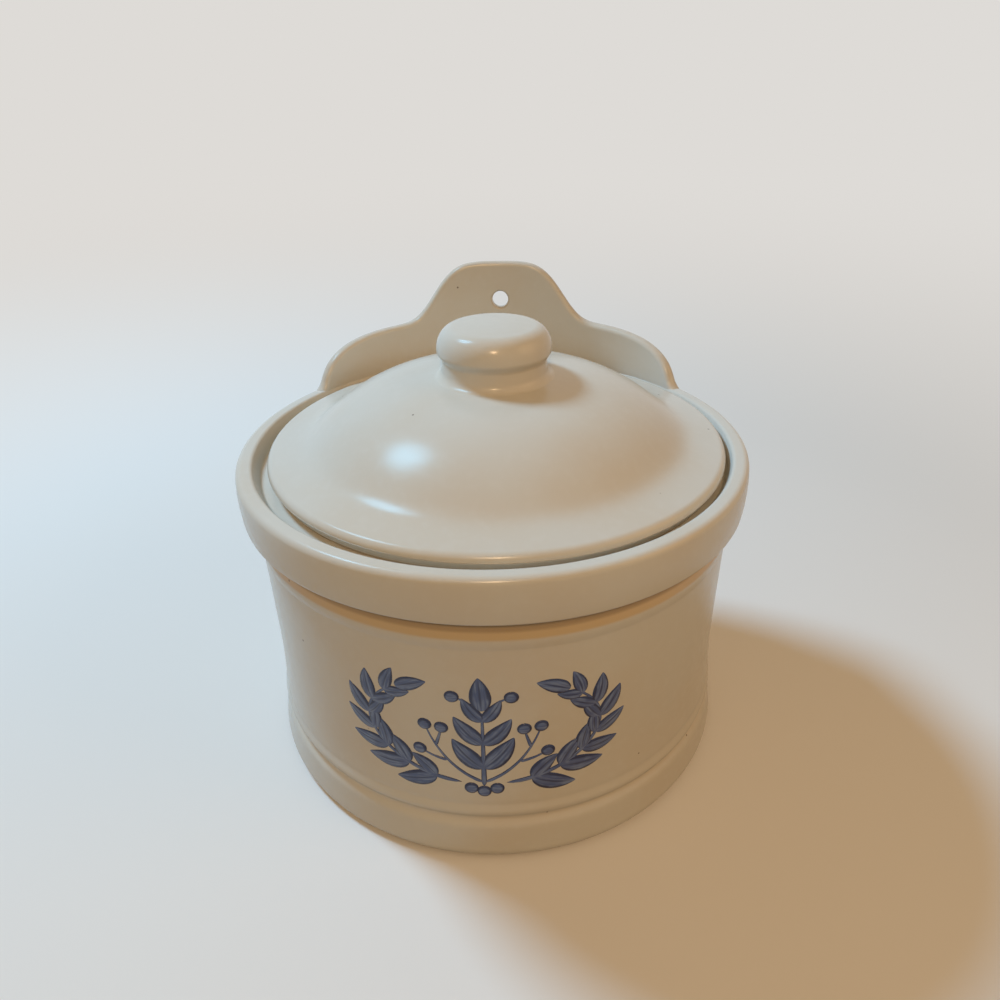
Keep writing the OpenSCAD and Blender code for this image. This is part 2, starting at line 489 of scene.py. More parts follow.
@dataclass(frozen=True)
class CreamGlaze:
    """Satin cream glaze on stoneware: faintly cloudy, with few iron specks, thin on edges, honey in hollows.

    On the pot, honey and amber also paint light and shade: a warm glow in the undercut near the bead, the
    shadow under the rim band, and shade in the groove above the foot. Sizes are in mm. Each Ease turns a
    noise, or a value that the mesh keeps, into a share or a roughness.
    """

    cream: Colour = (207, 204, 194)
    warm: Colour = (205, 198, 184)
    light: Colour = (214, 212, 205)
    tan: Colour = (178, 150, 112)
    # Honey of glaze pooled in hollows; on the pot also painted warm light in the undercut and painted shade in
    # the groove.
    honey: Colour = (203, 173, 122)
    # Painted shadow: the dark amber under the rim band's overhang, at the top of the undercut.
    painted_shadow_amber: Colour = (138, 113, 80)
    iron: Colour = (96, 78, 60)
    clay: Colour = (178, 156, 128)
    cloud_size: float = 46.0
    mottle_size: float = 2.6
    grain_size: float = 14.0
    speck_gap: float = 12.0
    cloud_warm: Ease = Ease(0.38, 0.66)
    mottle_light: Ease = Ease(0.45, 0.8, 0.0, 0.15)
    edge_tan: Ease = Ease(0.3, 0.7, 0.15, 0.35)
    honey_pool_and_painted_light: Ease = Ease(0.0, 0.6, 0.0, 0.85)
    strip_painted_shadow: Ease = Ease(0.78, 1.0, 0.0, 0.55)
    speck_core: Ease = Ease(0.018, 0.036, 0.85, 0.0)
    speck_kept: Ease = Ease(0.3, 0.4)
    gloss: Ease = Ease(0.3, 0.75, 0.21, 0.25)
    clay_dullness: float = 0.5
    specular: float = 0.38
    bump_strength: float = 0.03
    bump_depth: float = 0.6

    def material(self) -> Material:
        """Build the node material.

        Returns:
            The material, which reads the values thin, pool and bare of a mesh.
        """
        shader = Shader("cream_glaze")
        cloud = shader.noise(self.cloud_size)
        mottle = shader.noise(self.mottle_size, detail=1.0)
        bare = shader.point_value("bare")
        colour = shader.mix(shader.ease(cloud, self.cloud_warm), self.cream, self.warm)
        colour = shader.mix(shader.ease(mottle, self.mottle_light), colour, self.light)
        edge = shader.math("MULTIPLY", shader.point_value("thin"), shader.ease(mottle, self.edge_tan))
        colour = shader.mix(edge, colour, self.tan)
        pool = shader.point_value("pool")
        # Painted light: besides real pooling, this share holds a honey glow in the undercut and honey shade in
        # the groove, and its top end, in amber, is painted shadow under the band.
        colour = shader.mix(shader.ease(pool, self.honey_pool_and_painted_light), colour, self.honey)
        colour = shader.mix(shader.ease(pool, self.strip_painted_shadow), colour, self.painted_shadow_amber)
        colour = shader.mix(self.specks(shader), colour, self.iron)
        colour = shader.mix(bare, colour, self.clay)
        dull = shader.math("MULTIPLY", bare, self.clay_dullness)
        grain = shader.noise(self.grain_size, detail=0.0)
        relief = shader.math("ADD", grain, shader.math("MULTIPLY", bare, mottle))
        inputs = {
            "Base Color": colour,
            "Roughness": shader.math("ADD", shader.ease(mottle, self.gloss), dull),
            "Normal": shader.bump(relief, self.bump_strength, self.bump_depth),
            "Specular IOR Level": self.specular,
        }
        shader.feed(shader.principled, inputs)
        return shader.material

    def specks(self, shader: Shader) -> Socket:
        """Share of iron specks: cores of scattered cells, of which some are left out.

        Args:
            shader: The material in the making.

        Returns:
            The socket of the share.
        """
        spread = {"Vector": shader.place, "Scale": 1 / (self.speck_gap * MM)}
        cells = shader.node("ShaderNodeTexVoronoi", spread).outputs
        draw = shader.node("ShaderNodeSeparateColor", {0: cells["Color"]}).outputs[0]
        core = shader.ease(cells["Distance"], self.speck_core)
        return shader.math("MULTIPLY", core, shader.ease(draw, self.speck_kept))


@dataclass(frozen=True)
class CobaltPaint:
    """Cobalt brushed on under the glaze: dark where it gathers at border and vein, and streaked between.

    Sizes are in mm. Each Ease turns a noise, or a value that the mesh keeps, into a share or a roughness.
    """

    blue: Colour = (68, 86, 136)
    pale: Colour = (112, 130, 170)
    dark: Colour = (27, 36, 76)
    streak_length: float = 7.0
    streak_w: float = 0.7
    wash_size: float = 5.0
    streak_pale: Ease = Ease(0.36, 0.66)
    wash_blue: Ease = Ease(0.42, 0.68, 0.0, 0.75)
    border_ragged: Ease = Ease(0.3, 0.7, -0.07, 0.07)
    border_dark: Ease = Ease(0.55, 0.82)
    vein_dark: Ease = Ease(0.25, 0.9, 0.0, 0.75)
    gloss: Ease = Ease(0.3, 0.75, 0.21, 0.26)
    bump_strength: float = 0.12
    bump_depth: float = 0.3

    def material(self) -> Material:
        """Build the node material.

        Returns:
            The material, which reads the values edge, vein, along, across and stroke of a mesh.
        """
        shader = Shader("cobalt_paint")
        streak = shader.streaks(self.streak_length, self.streak_w)
        wash = shader.noise(self.wash_size)
        colour = shader.mix(shader.ease(streak, self.streak_pale), self.blue, self.pale)
        colour = shader.mix(shader.ease(wash, self.wash_blue), colour, self.blue)
        border = shader.math("ADD", shader.point_value("edge"), shader.ease(wash, self.border_ragged))
        colour = shader.mix(shader.ease(border, self.border_dark), colour, self.dark)
        colour = shader.mix(shader.ease(shader.point_value("vein"), self.vein_dark), colour, self.dark)
        inputs = {
            "Base Color": colour,
            "Roughness": shader.ease(streak, self.gloss),
            "Normal": shader.bump(streak, self.bump_strength, self.bump_depth),
        }
        shader.feed(shader.principled, inputs)
        return shader.material


@dataclass(frozen=True)
class StudioPaper:
    """Matt pale paper of the floor, which fades into the colour of the backdrop away from the object.

    The fade runs between two distances from the object's middle, in metres.
    """

    pale: Colour = (231, 227, 221)
    bounce: Colour = (160, 148, 134)
    backdrop: Colour = (222, 219, 215)
    fade: Range = (0.24, 1.6)
    roughness: float = 0.9
    specular: float = 0.1

    def floor(self) -> Material:
        """Build the node material of the floor.

        Returns:
            The material: lit paper near the object, which fades by one over the distance to the plain
            backdrop colour, to the eye alone.
        """
        shader = Shader("studio_paper")
        seen = seen_ray(shader.tree)
        colour = shader.mix(seen, self.bounce, self.pale)
        lit = {"Base Color": colour, "Roughness": self.roughness, "Specular IOR Level": self.specular}
        shader.feed(shader.principled, lit)
        away = shader.node("ShaderNodeVectorMath", {0: shader.place}, operation="LENGTH").outputs["Value"]
        far = shader.ease(shader.math("DIVIDE", 1.0, away), Ease(*(1 / end for end in self.fade)))
        share = shader.math("MULTIPLY", seen, far)
        plain = shader.node("ShaderNodeEmission", {"Color": self.backdrop}).outputs[0]
        blend = shader.node("ShaderNodeMixShader", {0: share, 1: shader.principled.outputs[0], 2: plain})
        shader.feed(shader.tree.nodes["Material Output"], {"Surface": blend.outputs[0]})
        return shader.material


def seen_ray(tree: bpy.types.NodeTree) -> Socket:
    """1 on the rays that show the background, and 0 on those that light.

    Camera, glossy and transmission rays show it, so the value is the largest of their three marks.

    Args:
        tree: The node tree.

    Returns:
        The socket of the value.
    """
    path = tree.nodes.new("ShaderNodeLightPath")
    largest = path.outputs["Is Camera Ray"]
    for name in ("Is Glossy Ray", "Is Transmission Ray"):
        larger = tree.nodes.new("ShaderNodeMath")
        larger.operation = "MAXIMUM"
        tree.links.new(largest, larger.inputs[0])
        tree.links.new(path.outputs[name], larger.inputs[1])
        largest = larger.outputs[0]
    return largest


@dataclass
class Crock:
    """The turned pot: foot ring, waisted wall with a groove, bead, undercut, rim band and the lid's ledge.

    Lengths are in mm. The fields named clear are multiples of a rounding, which a curve stays away from a
    corner. The strip is painted light in the undercut: a honey glow near the bead for the warm light caught
    there, and amber higher up for the shadow under the band, with its limits as shares of the way up it. The
    honey along the groove is painted shade.
    """

    rim_top: float
    rim_r: float
    rim_t: float = 4.0
    rim_round: float = 2.0
    rim_clear: float = 1.3
    lip_round: float = 1.2
    lip_slope: float = 2.0
    band_h: float = 13.0
    band_edge: float = 0.3
    band_swell: float = 0.4
    band_round: float = 1.0
    band_clear: float = 2.0
    undercut_h: float = 7.0
    undercut: float = 5.0
    undercut_power: float = 1.8
    undercut_share: float = 0.74
    undercut_round: float = 0.8
    bead: float = 0.4
    bead_h: float = 2.8
    bead_steps: int = 13
    waist_inset: float = 3.4
    waist_z: float = 42.0
    wall: float = 5.0
    wall_top_flare: float = 0.2
    wall_gap: float = 0.3
    wall_step: float = 0.5
    groove_z: float = 14.0
    groove_depth: float = 1.0
    groove_w: float = 1.6
    ridge: float = 0.3
    ridge_rise: float = 3.2
    ridge_w: float = 1.3
    scratch: float = 0.12
    scratch_rise: float = 5.8
    scratch_w: float = 0.8
    foot_flare: float = 3.7
    foot_round: float = 3.0
    foot_clear: float = 1.2
    foot_w: float = 11.8
    foot_in_round: float = 1.8
    foot_hollow: float = 3.0
    hollow_round: float = 0.9
    floor_t: float = 5.5
    floor_round: float = 9.0
    inner_flare: float = 0.8
    ledge_depth: float = 4.6
    ledge_w: float = 5.5
    ledge_round: float = 0.8
    ledge_t: float = 2.4
    ledge_low_round: float = 1.2
    ledge_under: float = 6.0
    ledge_under_round: float = 8.0
    uneven: float = 0.07
    foot_bare: Range = (0.25, 0.9)
    # Painted light in the undercut: where the honey glow near the bead and the amber painted shadow under the
    # band lie.
    strip_start: Range = (-0.05, 0.16)
    strip_deep: Range = (0.14, 0.5)
    strip_share: float = 0.6
    strip_end: float = 1.02
    # Painted shade in honey along the groove above the foot.
    groove_painted_shade: float = 0.16
    groove_spread: float = 1.3

    @classmethod
    def from_frame(cls) -> "Crock":
        """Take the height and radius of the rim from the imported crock."""
        high = node_box("crock")[1]
        return cls(rim_top=float(high[2]), rim_r=float(high[0]) - cls.band_edge - cls.band_swell)

    @property
    def band_z(self) -> float:
        """Height of the lower edge of the rim band."""
        return self.rim_top - self.band_h

    @property
    def band_edge_r(self) -> float:
        """Radius of the rim band at its edges."""
        return self.rim_r + self.band_edge

    @property
    def bead_z(self) -> float:
        """Height of the crest of the bead."""
        return self.band_z - self.undercut_h

    @property
    def wall_top(self) -> float:
        """Height where the wall ends and the bead starts."""
        return self.bead_z - self.bead_h

    @property
    def waist_r(self) -> float:
        """Outer radius of the wall at its waist."""
        return self.rim_r - self.waist_inset

    @property
    def ledge_z(self) -> float:
        """Height of the ledge that carries the lid."""
        return self.rim_top - self.ledge_depth

    @property
    def lip_r(self) -> float:
        """Inner radius of the rim."""
        return self.rim_r - self.rim_t

    @property
    def ledge_r(self) -> float:
        """Outer radius of the ledge, under the slope of the lip."""
        return self.lip_r - self.lip_slope

    def wall_radius(self, z: Array) -> Array:
        """Outer radius of the wall: a waist that flares with the square of the way up or down, with marks.

        The marks are bell-shaped: the groove, a low ridge above it and a faint scratch above that.

        Args:
            z: Heights, in mm.

        Returns:
            Radii, in mm.
        """
        down = np.maximum(0, (self.waist_z - z) / self.waist_z)
        up = np.maximum(0, (z - self.waist_z) / (self.wall_top - self.waist_z))
        marks = (
            (-self.groove_depth, 0.0, self.groove_w),
            (self.ridge, self.ridge_rise, self.ridge_w),
            (-self.scratch, self.scratch_rise, self.scratch_w),
        )
        above = z - self.groove_z
        height = sum(size * np.exp(-(((above - rise) / width) ** 2)) for size, rise, width in marks)
        return self.waist_r + self.foot_flare * down**2 + self.wall_top_flare * up**2 + height

    def out_of_round(self, angle: Array, z: Array) -> Array:
        """Factor on the radius at an angle from the +X axis, by which the pot is out of round."""
        return 1 + self.uneven / (self.band_edge_r + self.band_swell) * wander(angle, z)

    def band_radius(self, z: Array) -> Array:
        """Radius of the rim band, which swells as a parabola between its edges."""
        share = (z - self.rim_top + self.band_h / 2) / (self.band_h / 2)
        return self.band_edge_r + self.band_swell * (1 - share**2)

    def outline(self) -> Array:
        """Section of the pot from the middle of its underside out, up, over the rim and down inside.

        Below its crest the bead swells out by a sine, and above it the undercut draws in by a power of the
        way up.

        Returns:
            Rows of radius and height, in mm, with every corner rounded.
        """
        foot_r = float(self.wall_radius(np.array(self.foot_round)))
        foot_in_r = foot_r - self.foot_round - self.foot_w
        undercut_r = self.band_edge_r - self.undercut
        inner_r = self.waist_r - self.wall
        floor_z = self.foot_hollow + self.floor_t
        ledge_in_r = self.ledge_r - self.ledge_w
        ledge_low = self.ledge_z - self.ledge_t
        wall_z = np.arange(self.foot_round * self.foot_clear, self.wall_top - self.wall_gap, self.wall_step)
        wall_z = np.append(wall_z, self.wall_top)
        share = np.linspace(0, 1, self.bead_steps)[1:]
        bead_foot_r = float(self.wall_radius(np.array(self.wall_top)))
        bead_r = bead_foot_r + self.bead * np.sin(share * math.pi / 2)
        rise = share * self.undercut_share
        drawn_r = bead_r[-1] + (undercut_r - bead_r[-1]) * rise**self.undercut_power
        band_low = self.band_z + self.band_clear * self.band_round
        band_z = np.arange(band_low, self.rim_top - self.rim_clear * self.rim_round, self.wall_step)
        stretches = [
            [(0, self.foot_hollow, 0), (foot_in_r, self.foot_hollow, self.hollow_round)],
            [(foot_in_r, 0, self.foot_in_round), (foot_r, 0, self.foot_round)],
            sharp(self.wall_radius(wall_z), wall_z),
            sharp(bead_r, self.wall_top + self.bead_h * share),
            sharp(drawn_r, self.bead_z + self.undercut_h * rise),
            [(undercut_r, self.band_z, self.undercut_round)],
            [(self.band_edge_r, self.band_z, self.band_round)],
            sharp(self.band_radius(band_z), band_z),
            [(self.band_edge_r, self.rim_top, self.rim_round), (self.lip_r, self.rim_top, self.lip_round)],
            [(self.ledge_r, self.ledge_z, self.ledge_round), (ledge_in_r, self.ledge_z, self.ledge_round)],
            [(ledge_in_r, ledge_low, self.ledge_low_round)],
            [(inner_r, ledge_low - self.ledge_under, self.ledge_under_round)],
            [(inner_r + self.inner_flare, floor_z, self.floor_round), (0, floor_z, 0)],
        ]
        return section(stretches)

    def build(self, glaze: Material) -> bpy.types.Object:
        """Turn the pot, with a foot ring of bare clay.

        Painted light lies in the undercut, a honey glow near the bead and amber painted shadow under the band,
        and painted shade in honey lies in the groove; both also fall on the inside wall at the same heights.

        Args:
            glaze: Its finish.

        Returns:
            The piece, riding on the crock.
        """
        line = self.outline()
        r, z = line.T
        values = glaze_values(line, 1 - smooth_step(z, *self.foot_bare))
        # Painted light in the undercut: honey glow near the bead, then amber painted shadow under the band.
        rise = (z - self.bead_z) / self.undercut_h
        start, deep = smooth_step(rise, *self.strip_start), smooth_step(rise, *self.strip_deep)
        strip = (self.strip_share * start + (1 - self.strip_share) * deep) * (rise < self.strip_end)
        # Painted shade in honey along the groove above the foot.
        groove_reach = self.groove_spread * self.groove_w
        groove = self.groove_painted_shade * np.exp(-(((z - self.groove_z) / groove_reach) ** 2))
        values["pool"] = np.maximum(values["pool"], (strip + groove) * (r > self.lip_r - self.wall))
        shape = turned(line, np.zeros(2), self.uneven, **values)
        return settle(shape.to_object("turned_crock", glaze), Body.CROCK, Slot.GLAZE, "crock")


@dataclass
class BackPlate:
    """The wall plate: it follows the rim's curve, with shoulders, a round tab, soft edges and a hanging hole.

    Its plane coordinates are the arc length s on the rim's radius, the height h above the rim and the depth w
    from the middle of its thickness, towards the back. Lengths are in mm and angles in degrees.
    """

    crock: Crock
    hole_r: float
    hole_rise: float
    shoulder_h: float = 15.8
    tab_h: float = 20.1
    half_angle: float = 56.6
    tab_angle: float = 20.0
    cut_turn: float = 0.6
    shoulder_power: float = 5.4
    tab_power: float = 4.5
    thickness: float = 3.8
    edge_round: float = 1.7
    edge_power: float = 2.3
    edge_thin: float = 0.8
    hole_lip: float = 0.8
    end_flare: float = 2.4
    end_flare_h: float = 1.7
    lap: float = 5.0
    root_front: float = 0.3
    root_back: float = 0.5
    root_zone: Range = (-1.4, 2.6)
    middle_s: float = 24.0
    wing_steps: int = 110
    middle_steps: int = 60
    rows: int = 24
    edge_steps: int = 14
    ray_power: float = 1.5

    @classmethod
    def from_frame(cls, crock: Crock) -> "BackPlate":
        """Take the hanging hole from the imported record's mount."""
        hole = mount("hang_hole")
        return cls(crock, hole["dims"]["r_mm"], hole["pos_m"][2] / MM - crock.rim_top)

    @property
    def half_arc(self) -> float:
        """Arc length from the middle of the plate to its end."""
        return self.crock.rim_r * math.radians(self.half_angle)

    def outline(self) -> Array:
        """Upper edge of the plate from its left to its right end.

        The height is shoulder (1 - (s / end)^p)^0.5 + tab exp(-(s / tab arc)^q), and each end runs out along
        the rim by flare exp(-h / flare height), as a fillet of slip does.

        Returns:
            Rows of arc length and height, in mm, with a row at either end of the middle stretch.
        """
        turn = math.asin(self.middle_s / self.half_arc)
        wing = np.linspace(-math.pi / 2, -turn, self.wing_steps)
        middle = np.linspace(-turn, turn, self.middle_steps)
        s = self.half_arc * np.sin(np.concatenate([wing, middle[1:-1], -wing[::-1]]))
        tab_arc = self.crock.rim_r * math.radians(self.tab_angle)
        shoulder = np.sqrt(np.maximum(0, 1 - (np.abs(s) / self.half_arc) ** self.shoulder_power))
        h = self.shoulder_h * shoulder + self.tab_h * np.exp(-((np.abs(s) / tab_arc) ** self.tab_power))
        return np.stack([s + np.sign(s) * self.end_flare * np.exp(-h / self.end_flare_h), h], axis=1)

    def place(self, s: Array, h: Array, w: Array) -> Array:
        """Bend plane coordinates round the rim.

        The point is at (r sin a, r cos a, rim top + h) with r = middle radius + w and a = s / rim radius,
        less the turn of the cut. Near the rim the thickness grows to both sides, so that the faces run into
        lip and band. The plate is as much out of round as the pot.

        Args:
            s: Arc lengths, in mm.
            h: Heights above the rim, in mm.
            w: Depths, in mm.

        Returns:
            Points in mm.
        """
        s, h, w = np.broadcast_arrays(s, h, w)
        root = 1 - smooth_step(h, *self.root_zone)
        side = np.where(w < 0, self.root_front, self.root_back) * root
        r = self.crock.rim_r - self.thickness / 2 + w * (1 + side / (self.thickness / 2))
        a = s / self.crock.rim_r - math.radians(self.cut_turn)
        z = self.crock.rim_top + h
        r = r * self.crock.out_of_round(math.pi / 2 - a, z)
        return np.stack([r * np.sin(a), r * np.cos(a), z], axis=-1)

    def build(self, glaze: Material) -> bpy.types.Object:
        """Make the plate as one closed shell: two faces, a round edge, the bore, two ends and the underside.

        Args:
            glaze: Its finish.

        Returns:
            The piece, riding on the crock.
        """
        line = self.outline()
        normal = left_of(unit(np.gradient(line, axis=0)))
        inset = line - self.edge_round * normal
        h = -self.lap + np.linspace(0, 1, self.rows) * (inset[:, 1:] + self.lap)
        columns = np.stack([np.broadcast_to(inset[:, :1], h.shape), h], axis=-1)
        shape = Surface.joined([*self.faces(columns), *self.round_edge(inset, normal)])
        return settle(shape.to_object("curved_back_plate", glaze), Body.CROCK, Slot.GLAZE, "back_plate")

    def faces(self, columns: Array) -> list[Surface]:
        """Front and back of the plate: upright columns on the wings, and rays from the hole in the middle.

        Args:
            columns: Points (s, h) on the face for each place, from the base up to the round edge.

        Returns:
            The patches of both faces and of the bore between them.
        """
        first, last = self.wing_steps - 1, len(columns) - self.wing_steps
        middle = columns[first : last + 1]
        border = np.concatenate([middle[:-1, 0], middle[-1, :-1], middle[:0:-1, -1], middle[0, ::-1]])
        hole = np.array([self.crock.rim_r * math.radians(self.cut_turn), self.hole_rise])
        ray = unit(border - hole)
        rim = hole + (self.hole_r + self.hole_lip) * ray
        share = np.linspace(0, 1, self.rows)[:, None] ** self.ray_power
        rays = rim[:, None] + share * (border - rim)[:, None]
        half = self.thickness / 2
        parts = []
        for w, is_back in ((-half, False), (half, True)):
            for patch in (columns[: first + 1], columns[last:]):
                parts.append(Surface.from_grid(self.place(patch[..., 0], patch[..., 1], w), flip=not is_back))
            parts.append(Surface.from_grid(self.place(rays[..., 0], rays[..., 1], w), flip=is_back))
        return [*parts, self.bore(hole, ray)]

    def bore(self, hole: Array, ray: Array) -> Surface:
        """Wall of the hanging hole, with a quarter round at each face.

        Along a quarter round, for t from 0 to a quarter turn, the radius is hole + lip (1 - sin t) and the
        depth from the face is lip (1 - cos t).

        Args:
            hole: Middle of the hole (s, h).
            ray: Directions from it.

        Returns:
            The patch.
        """
        turn = np.linspace(0, math.pi / 2, self.edge_steps // 2)
        half, lip = self.thickness / 2, self.hole_lip
        radius = self.hole_r + lip * (1 - np.sin(turn))
        depth = -half + lip * (1 - np.cos(turn))
        radius = np.concatenate([radius, radius[::-1]])
        depth = np.concatenate([depth, -depth[::-1]])
        thin = np.concatenate([np.sin(2 * turn), np.sin(2 * turn[::-1])])
        spot = hole + radius[:, None] * ray[:, None]
        return Surface.from_grid(self.place(spot[..., 0], spot[..., 1], depth), {"thin": thin}, flip=True)

    def round_edge(self, inset: Array, normal: Array) -> list[Surface]:
        """Round edge that joins the faces, with the ends and the underside that sit in the rim.

        Across the edge, depth and reach follow a rounded square: w = -half |cos b|^k, with the sign of the
        cosine, and out = round |sin b|^k, for b from 0 at the front to half a turn at the back.

        Args:
            inset: Points (s, h) where the faces end.
            normal: Outward directions there.

        Returns:
            The patches.
        """
        turn = np.linspace(0, math.pi, 2 * self.edge_steps + 1)
        power = 2 / self.edge_power
        depth = -self.thickness / 2 * np.sign(np.cos(turn)) * np.abs(np.cos(turn)) ** power
        reach = self.edge_round * np.abs(np.sin(turn)) ** power
        edge = inset[:, None] + reach[:, None] * normal[:, None]
        thin = {"thin": self.edge_thin * np.sin(turn) ** 2}
        parts = [Surface.from_grid(self.place(edge[..., 0], edge[..., 1], depth), thin, flip=True)]
        bottom = self.place(inset[:, :1], np.full((1, 1), -self.lap), depth)
        parts.append(Surface.from_grid(bottom))
        share = np.linspace(0, 1, self.rows)[:, None]
        for end, is_left in ((0, True), (-1, False)):
            drop = -self.lap + share * (edge[end, :, 1] + self.lap)
            parts.append(Surface.from_grid(self.place(edge[end, :, 0], drop, depth), flip=is_left))
            under = np.stack([np.broadcast_to(inset[end, 0], reach.shape), edge[end, :, 0]])
            parts.append(Surface.from_grid(self.place(under, np.array(-self.lap), depth), flip=is_left))
        return parts


@dataclass
class Lid:
    """The loose lid: a hollow dome with a soft brim that drops inside the rim, and a turned knob on top.

    Lengths are in mm. The fields named share are shares of the knob's height or, for the cap's flat top, of
    its radius.
    """

    crock: Crock
    axis: Array
    lid_r: float
    lid_t: float = 5.0
    brim_w: float = 9.8
    brim_rise: float = 0.7
    brim_slope: float = 0.16
    brim_round: float = 2.2
    brim_clear: float = 1.3
    edge_taper: float = 2.0
    edge_lift: float = 3.4
    edge_round: float = 1.0
    cove: float = 2.6
    dome_h: float = 19.6
    dome_power: float = 3.4
    crown_gap: float = 0.5
    foot_w: float = 5.0
    foot_in_round: float = 0.8
    foot_out_round: float = 0.5
    foot_bare: Range = (0.2, 0.8)
    hollow_reach: float = 2.0
    hollow_round: float = 1.5
    knob_r: float = 16.45
    knob_h: float = 15.0
    knob_seat_r: float = 17.8
    knob_fillet: float = 2.7
    knob_sink: float = 0.03
    neck_r: float = 15.0
    neck_flare: float = 0.4
    toe: float = 3.8
    toe_slope_step: float = 1.0
    toe_t: float = 0.3
    toe_round: float = 0.05
    root_out: float = 0.2
    root_drop: float = 0.5
    root_round: float = 0.1
    root_edge_round: float = 0.5
    cap_low_share: float = 0.32
    cap_share: float = 0.53
    cap_top_share: float = 0.68
    cap_crown: float = 0.5
    curve_steps: int = 90
    uneven: float = 0.05

    @classmethod
    def from_frame(cls, crock: Crock) -> "Lid":
        """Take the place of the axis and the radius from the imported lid."""
        low, high = node_box("lid")
        return cls(crock, (low[:2] + high[:2]) / 2, float(high[0] - low[0]) / 2)

    def dome(self, r: Array) -> Array:
        """Height of the lid's top: the higher of brim and cap, with a soft cove between them.

        The brim is a straight slope and the cap is h (1 - (r / cap radius)^p); their soft maximum is
        (brim + cap + sqrt((brim - cap)^2 + cove^2)) / 2.

        Args:
            r: Radii, in mm.

        Returns:
            Heights, in mm.
        """
        brim = self.brim_rise + self.brim_slope * (self.lid_r - r)
        cap = self.dome_h * (1 - (r / (self.lid_r - self.brim_w)) ** self.dome_power)
        return self.crock.rim_top + (brim + cap + np.sqrt((brim - cap) ** 2 + self.cove**2)) / 2

    @property
    def seat_z(self) -> float:
        """Height of the lid's crown, where the knob sits."""
        return float(self.dome(np.array(self.knob_seat_r)))

    def outline(self) -> Array:
        """Section of the lid from the middle of its hollow out, over the brim and up to its crown.

        The hollow follows the dome at the lid's thickness, and is flat below the knob.

        Returns:
            Rows of radius and height, in mm.
        """
        hollow_r = np.linspace(0, self.lid_r - self.brim_w + self.hollow_reach, self.curve_steps)
        hollow_z = np.minimum(self.dome(hollow_r), self.seat_z) - self.lid_t
        cap_r = np.linspace(self.lid_r - self.brim_clear * self.brim_round, self.crown_gap, self.curve_steps)
        foot_z = self.crock.ledge_z
        foot_out_r = self.lid_r - self.edge_taper
        brim_z, top_z = self.dome(np.array([self.lid_r, 0.0])).tolist()
        stretches = [
            sharp(hollow_r, hollow_z)[:-1],
            [(hollow_r[-1], hollow_z[-1], self.hollow_round)],
            [(foot_out_r - self.foot_w, foot_z, self.foot_in_round)],
            [(foot_out_r, foot_z, self.foot_out_round)],
            [(self.lid_r, foot_z + self.edge_lift, self.edge_round), (self.lid_r, brim_z, self.brim_round)],
            sharp(cap_r, self.dome(cap_r)),
            [(0, top_z, 0)],
        ]
        return section(stretches)

    def knob_outline(self) -> Array:
        """Section of the knob: root in the lid, fillet, neck, cap with a defined lower edge, and crowned top.

        The fillet leaves the dome along its slope, the neck steps out to the cap by a cosine ease, the
        shoulder is a quarter ellipse and the crown a shallow parabola.

        Returns:
            Rows of radius and height, in mm.
        """
        root_z = self.seat_z - self.knob_sink - self.lid_t / 2
        foot_r = self.neck_r + self.neck_flare
        toe_r = foot_r + self.toe
        near_z, toe_z = (self.dome(np.array([toe_r - self.toe_slope_step, toe_r])) - self.knob_sink).tolist()
        foot_z = toe_z + (near_z - toe_z) / self.toe_slope_step * self.toe
        neck_z = self.seat_z + self.cap_low_share * self.knob_h
        cap_z = self.seat_z + self.cap_share * self.knob_h
        top_z = self.seat_z + self.knob_h
        top_r = self.cap_top_share * self.knob_r
        share = np.linspace(0, 1, self.curve_steps // 2)
        swell_r = self.neck_r + (self.knob_r - self.neck_r) * (1 - np.cos(math.pi * share)) / 2
        shoulder_h = self.knob_h * (1 - self.cap_share) - self.cap_crown
        shoulder_r = top_r + (self.knob_r - top_r) * np.cos(share * math.pi / 2)
        shoulder_z = cap_z + shoulder_h * np.sin(share * math.pi / 2)
        crown_r = top_r * (1 - share)
        crown_z = top_z - self.cap_crown * (crown_r / top_r) ** 2
        stretches = [
            [(0, root_z, 0), (self.neck_r, root_z, self.root_edge_round)],
            [(foot_r + self.root_out, toe_z - self.root_drop, self.root_round)],
            [(toe_r - self.toe_t, toe_z - self.toe_t, self.toe_round), (toe_r, toe_z, 0)],
            [(foot_r, foot_z, self.knob_fillet)],
            sharp(swell_r, neck_z + (cap_z - neck_z) * share),
            sharp(shoulder_r, shoulder_z)[1:],
            sharp(crown_r, crown_z)[1:],
        ]
        return section(stretches)

    def build(self, glaze: Material) -> list[bpy.types.Object]:
        """Turn the lid, which rests on a narrow ring of bare clay, and its knob.

        Args:
            glaze: Their finish.

        Returns:
            The two pieces, riding on the lid.
        """
        line = self.outline()
        bare = 1 - smooth_step(line[:, 1], *(self.crock.ledge_z + rise for rise in self.foot_bare))
        lid = turned(line, self.axis, self.uneven, **glaze_values(line, bare)).to_object("domed_lid", glaze)
        knob_line = self.knob_outline()
        knob = turned(knob_line, self.axis, **glaze_values(knob_line, np.zeros(len(knob_line))))
        return [
            settle(lid, Body.LID, Slot.GLAZE, "lid"),
            settle(knob.to_object("turned_knob", glaze), Body.LID, Slot.GLAZE, "lid_knob"),
        ]


@dataclass(frozen=True)
class Leaf:
    """Size of a painted leaf: length and half width in mm, and sideways bow as a share of its length."""

    length: float
    width: float
    bow: float = 0.0

    def rows(self, base: Array, angle: Array, size: Array) -> Array:
        """Rows of base s, base h, angle, length, half width and bow, for leaves at shares of this size."""
        return np.column_stack([base, angle, self.length * size, self.width * size, self.bow + 0 * size])


@dataclass(frozen=True)
class Stalk:
    """A berry stalk: a curve from its start to the berry at its end, drawn towards a pull, each as (s, h)."""

    start: Range
    pull: Range
    end: Range


